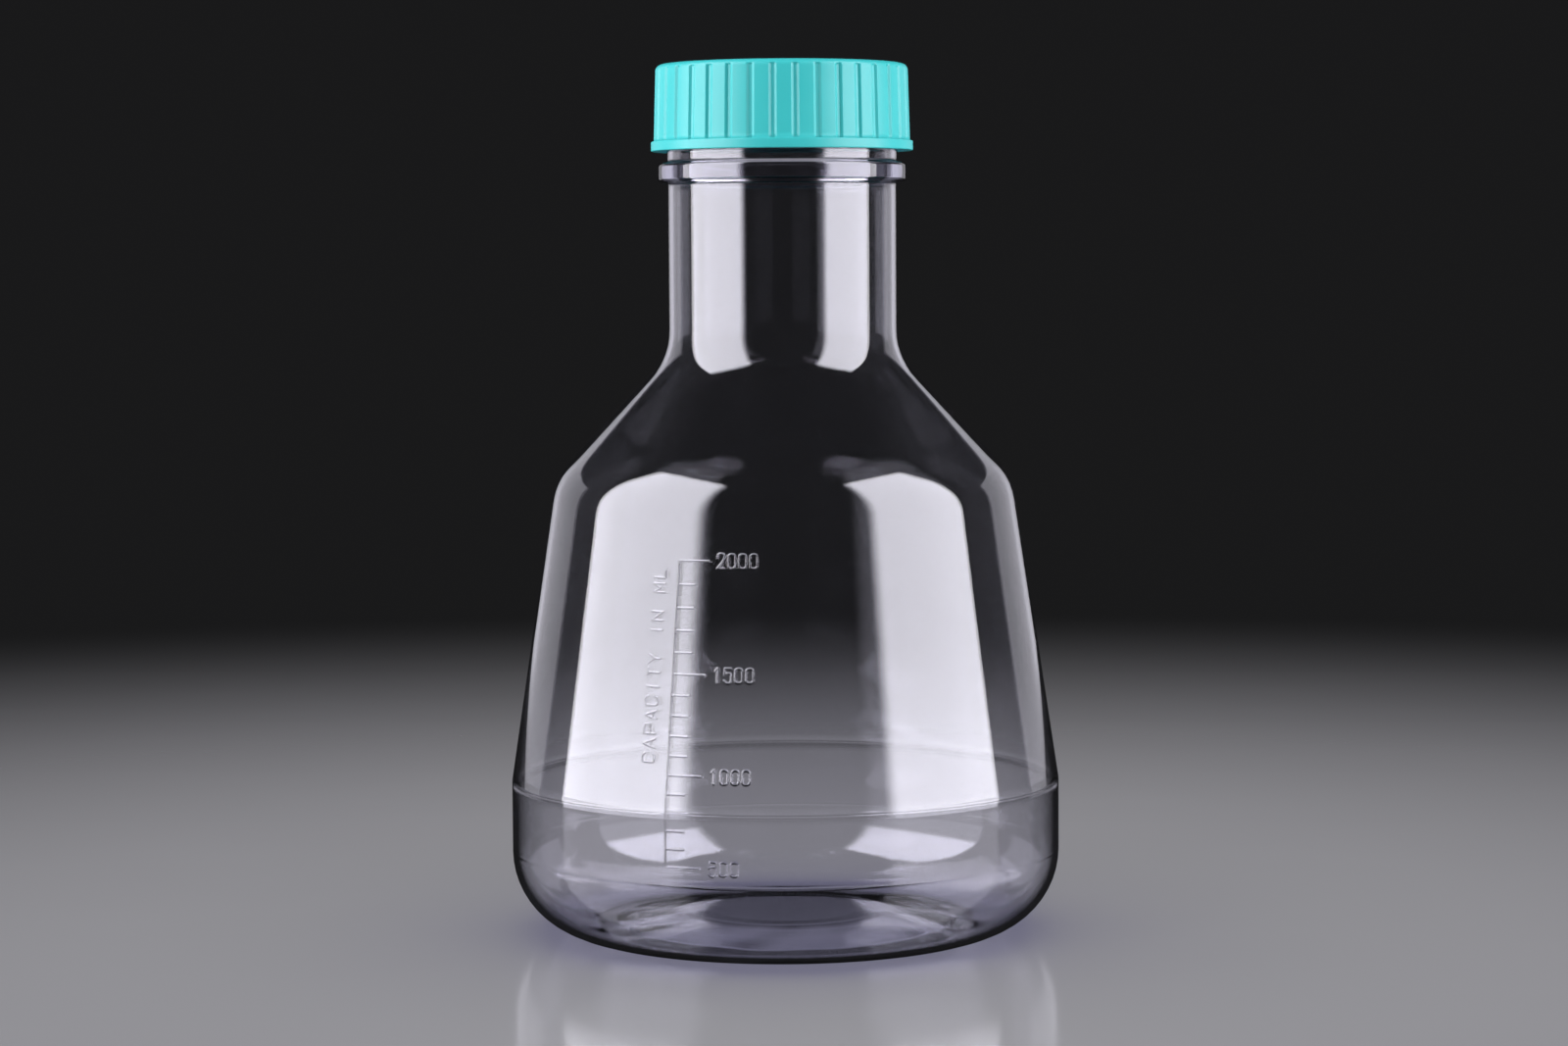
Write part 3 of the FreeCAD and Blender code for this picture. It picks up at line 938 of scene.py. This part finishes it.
def link_light(light, floor, state):
    """Limits a light to the floor alone, or to everything but the floor."""
    group = bpy.data.collections.new(light.name)
    group.objects.link(floor)
    group.collection_objects[0].light_linking.link_state = state
    light.light_linking.receiver_collection = group


def shown_share(tree, inner_share):
    """1 outside the vessel, a share in reflections inside it, and 0 straight through both its walls."""
    path = tree.nodes.new("ShaderNodeLightPath")
    outside = math_node(tree, "LESS_THAN", path.outputs["Transmission Depth"], ONE_WALL)
    reflected = math_node(tree, "GREATER_THAN", path.outputs["Glossy Depth"], 0.5)
    inside = math_node(tree, "MULTIPLY", reflected, inner_share)
    return math_node(tree, "MAXIMUM", outside, inside)


def softbox_strength(tree, azimuth):
    """Fades a softbox's front edge, and dims its foot in reflections inside the vessel."""
    place = tree.nodes.new("ShaderNodeNewGeometry")
    split = tree.nodes.new("ShaderNodeSeparateXYZ")
    tree.links.new(place.outputs["Parametric"], split.inputs["Vector"])
    front = 0.0 if azimuth > 0 else 1.0
    edge = smooth_range(tree, split.outputs["X"], front, abs(front - SOFT_EDGE))
    above_foot = smooth_range(tree, split.outputs["Y"], *FOOT_FADE)
    inner_share = math_node(tree, "MAXIMUM", above_foot, FOOT_STRENGTH)
    return math_node(tree, "MULTIPLY", edge, shown_share(tree, inner_share))


def set_strength(light, strength):
    tree = light.data.node_tree
    tree.links.new(strength, tree.nodes["Emission"].inputs["Strength"])


def make_softboxes(floor):
    for name, azimuth, width in SOFTBOXES:
        size = (width, SOFTBOX_TALL)
        for suffix, side, share in (("", 1, 1.0), ("_mirrored", -1, TABLE_REFLECTANCE)):
            light = make_softbox(name + suffix, azimuth, SOFTBOX_DISTANCE, side * SOFTBOX_TALL / 2, size,
                                 SOFTBOX_RADIANCE * share, floor)
            set_strength(light, softbox_strength(light.data.node_tree, azimuth))


def make_rim_lights(floor):
    for name, azimuth in RIM_LIGHTS:
        light = make_softbox(name, azimuth, RIM_DISTANCE, RIM_HEIGHT_ABOVE_FLOOR, RIM_SIZE, RIM_RADIANCE,
                             floor)
        set_strength(light, shown_share(light.data.node_tree, 1.0))


def make_floor_light(floor):
    """Overhead light for the floor alone."""
    light = make_panel("floor_light", (0.0, 0.0, FLOOR_LIGHT_HEIGHT), (0.0, 0.0, 0.0), FLOOR_LIGHT_SIZE,
                       FLOOR_LIGHT_RADIANCE)
    light.visible_glossy = False
    link_light(light, floor, "INCLUDE")


def make_background():
    world = bpy.data.worlds.new("studio")
    world.use_nodes = True
    world.node_tree.nodes["Background"].inputs["Color"].default_value = (*WORLD_GREY, 1.0)
    bpy.context.scene.world = world


def make_stage():
    floor = make_floor()
    make_softboxes(floor)
    make_rim_lights(floor)
    make_floor_light(floor)
    make_background()


def make_camera():
    data = bpy.data.cameras.new("camera")
    data.lens = CAMERA_LENS
    data.sensor_width = CAMERA_SENSOR
    camera = bpy.data.objects.new("camera", data)
    camera.location = (0.0, -CAMERA_DISTANCE, CAMERA_HEIGHT)
    pitch = Matrix.Rotation(math.radians(90.0 - CAMERA_PITCH), 3, "X")
    camera.rotation_euler = (pitch @ Matrix.Rotation(math.radians(CAMERA_ROLL), 3, "Z")).to_euler()
    bpy.context.scene.collection.objects.link(camera)
    bpy.context.scene.camera = camera


# ---------------------------------------------------------------- assembly

def attach(piece, body, material, nodes):
    """Gives a piece its material, the body that it rides on, and the CAD nodes that it stands for."""
    piece.data.materials.clear()
    piece.data.materials.append(material)
    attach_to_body(piece, body)
    if nodes:
        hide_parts(*nodes)


make_camera()
make_stage()
bpy.context.scene.view_settings.view_transform = "Standard"
bpy.context.scene.cycles.caustics_reflective = False
bpy.context.scene.cycles.caustics_refractive = False

teal = teal_plastic()
attach(make_vessel(), "flask", clear_plastic(), ["flask_body"])
attach(make_cap(), "cap", teal, ["cap_shell"])
attach(make_vent_grid(), "cap", teal, [])
attach(make_membrane(), "cap", membrane_film(), ["vent_membrane"])
attach(make_seal(), "seal", silicone(), ["seal_ring"])
